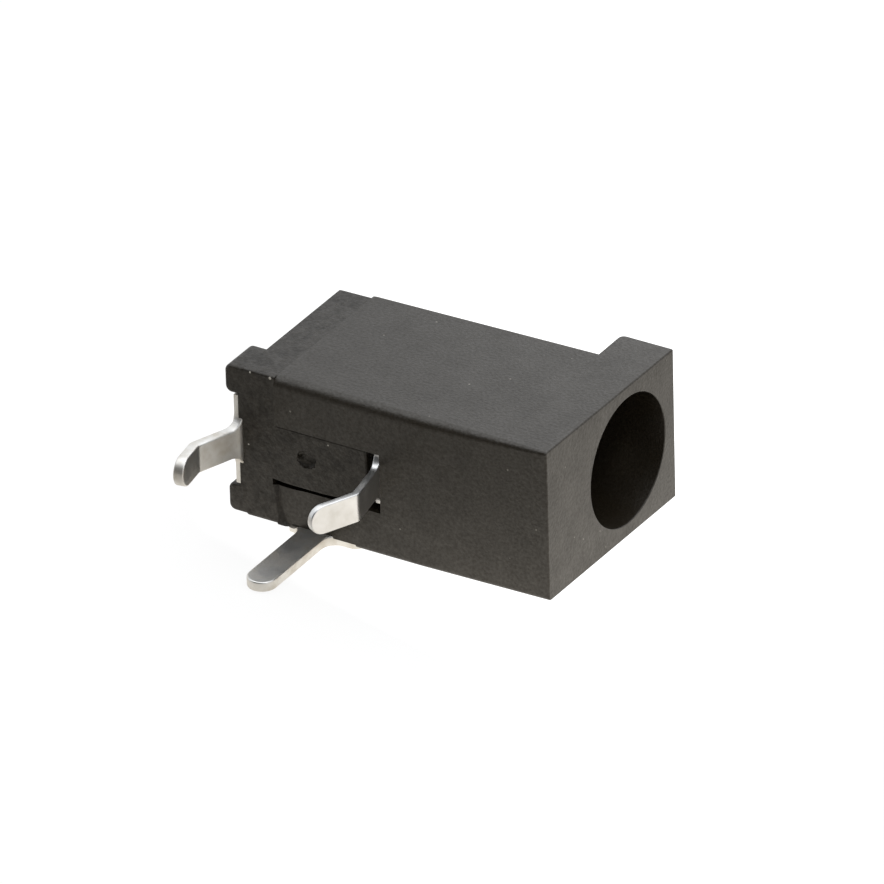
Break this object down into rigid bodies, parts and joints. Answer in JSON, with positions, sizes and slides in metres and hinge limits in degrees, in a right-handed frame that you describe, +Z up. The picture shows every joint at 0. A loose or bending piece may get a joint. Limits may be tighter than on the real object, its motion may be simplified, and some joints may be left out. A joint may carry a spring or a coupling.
{
  "type": "dc barrel jack",
  "caption": "Board-mounted socket for a small round DC power plug: a black moulded body with a square-flanged plug bore, a centre pin, and flat kinked leads out of its board side.",
  "frame": {"origin": "on the axis of the plug bore, in the front face of the flange", "axes": "+X out of the plug mouth, -Y towards the board, +Z up with the jack lying on its side"},
  "size_m": [0.0104, 0.0095, 0.0048],
  "materials": {
    "housing_plastic": "black glass-filled PBT, fine spark-eroded moulding texture",
    "base_plastic": "black glass-filled PBT, coarser and mottled texture",
    "pin_plating": "turned brass, nickel plated, bright",
    "terminal_plating": "stamped brass, tin plated, satin",
    "spring_plating": "stamped phosphor bronze, silver plated, bright satin"
  },
  "bodies": {
    "root": {"housing": "housing_plastic", "rear_base": "base_plastic", "centre_pin": "pin_plating", "centre_terminal": "terminal_plating", "sleeve_spring": "spring_plating", "shunt_terminal": "terminal_plating"}
  },
  "joints": []
}
